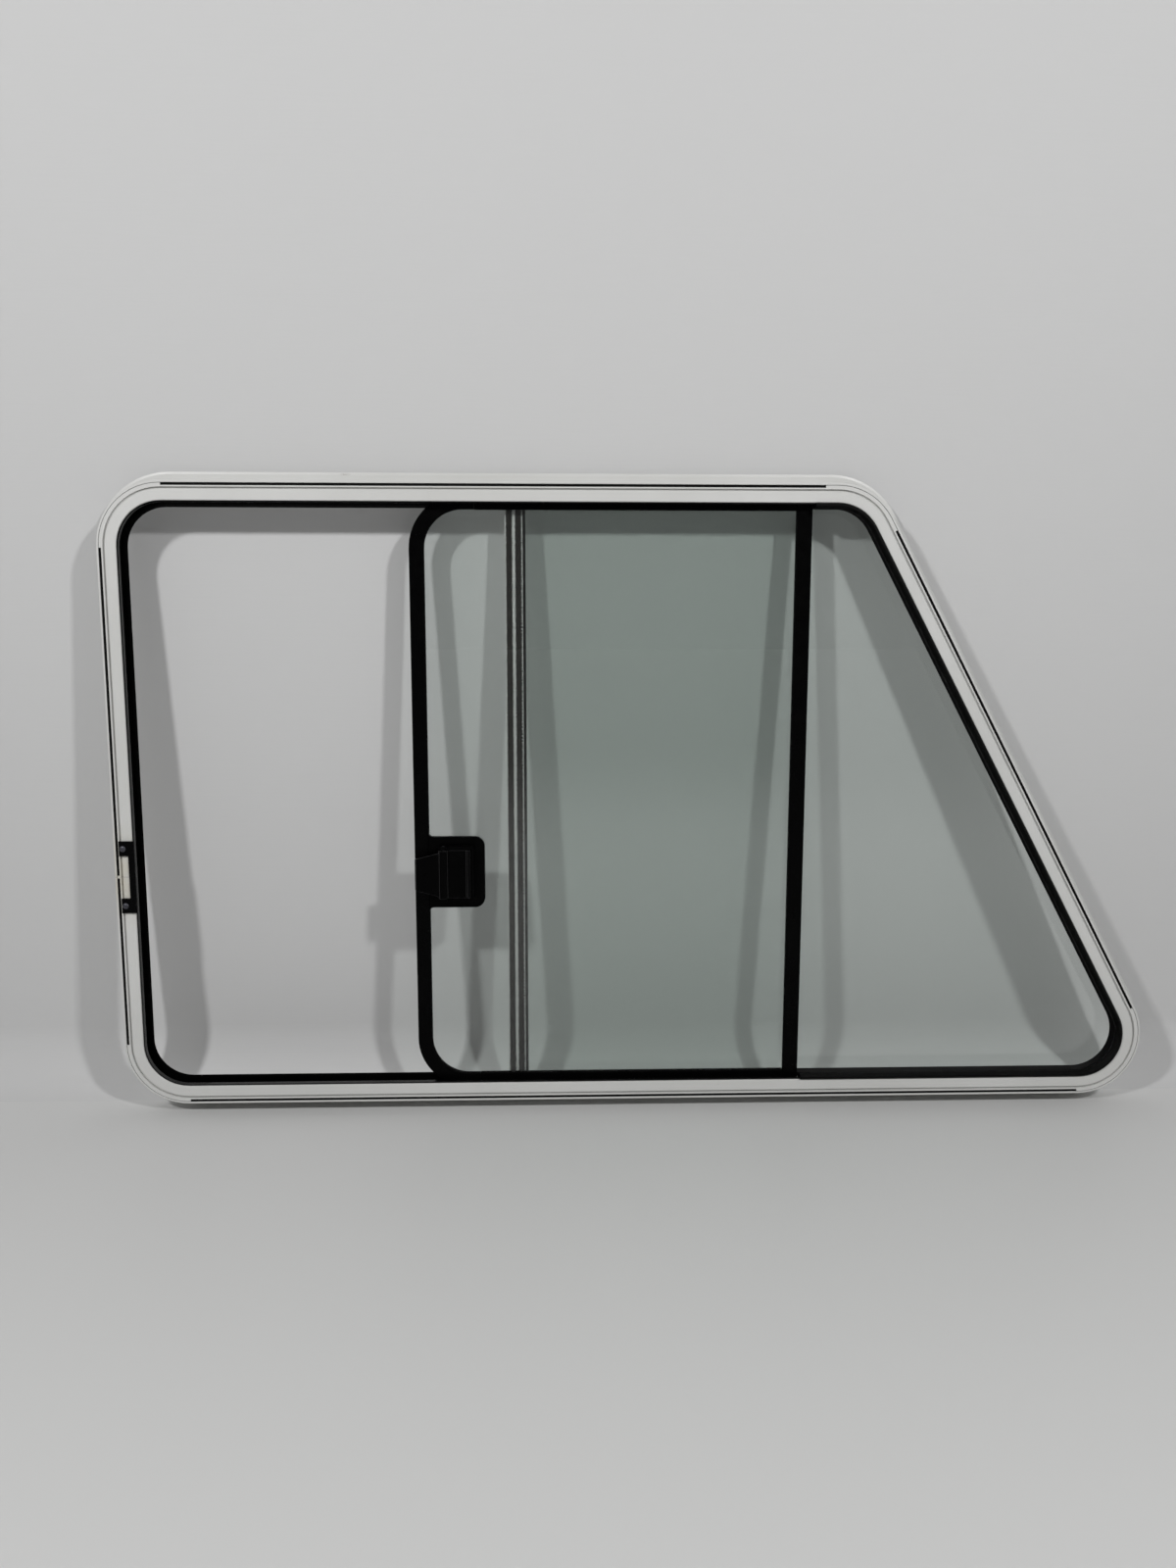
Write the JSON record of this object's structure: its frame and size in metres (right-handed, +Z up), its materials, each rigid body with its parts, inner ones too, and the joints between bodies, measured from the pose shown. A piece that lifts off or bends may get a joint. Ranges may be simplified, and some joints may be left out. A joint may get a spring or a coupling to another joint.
{
  "type": "motorhome cab side window with sliding pane",
  "caption": "Sliding side window for a motorhome cab: white bent frame with a slanted end, black rubber seals, tinted fixed and sliding panes, and a spring latch.",
  "frame": {"origin": "on the face of the flange that bears on the vehicle's outer skin, in the middle of the flange's width and halfway along the sill", "axes": "+X along the sill, to the right as seen from inside the cab, towards the slanted end; +Y out of the vehicle; +Z up"},
  "size_m": [1.0431, 0.0411, 0.6294],
  "materials": {
    "white_frame": "satin powder coat",
    "bare_aluminium": "mill finish",
    "seal_rubber": "matt",
    "insert_rubber": "matt",
    "brush_pile": "short pile",
    "tinted_glass": "clear, green tint",
    "black_trim": "satin",
    "latch_plastic": "fine grain",
    "black_steel": "semi-gloss black",
    "pin_steel": "plain"
  },
  "bodies": {
    "frame": {"outer_frame": "white_frame", "insert_strip_head": "insert_rubber", "insert_strip_sill": "insert_rubber", "insert_strip_left_upper": "insert_rubber", "insert_strip_left_lower": "insert_rubber", "insert_strip_slant": "insert_rubber", "track_rubber": "seal_rubber", "outer_seal": "seal_rubber", "filler_rubber": "seal_rubber", "glazing_gasket": "seal_rubber", "fixed_glass": "tinted_glass", "post": "bare_aluminium", "brush_left": "brush_pile", "brush_right": "brush_pile", "post_bead": "seal_rubber", "keeper": "black_steel"},
    "sliding_pane": {"sliding_glass": "tinted_glass", "leading_trim": "black_trim", "trailing_bar": "black_trim", "foot_trim": "black_trim", "head_trim": "black_trim", "latch_plate": "latch_plastic", "pivot_pin": "pin_steel"},
    "lever": {"latch_lever": "latch_plastic"}
  },
  "joints": [
    {"name": "pane_slide", "type": "slide", "parent": "frame", "child": "sliding_pane", "axis": [-1, 0, 0], "range_m": [0, 0.2777]},
    {"name": "latch_pivot", "type": "hinge", "parent": "sliding_pane", "child": "lever", "pos_m": [-0.20757, -0.03, 0.2388], "axis": [0, 0, 1], "range_deg": [0, 9], "stiffness_Nm_per_rad": 0.4}
  ]
}
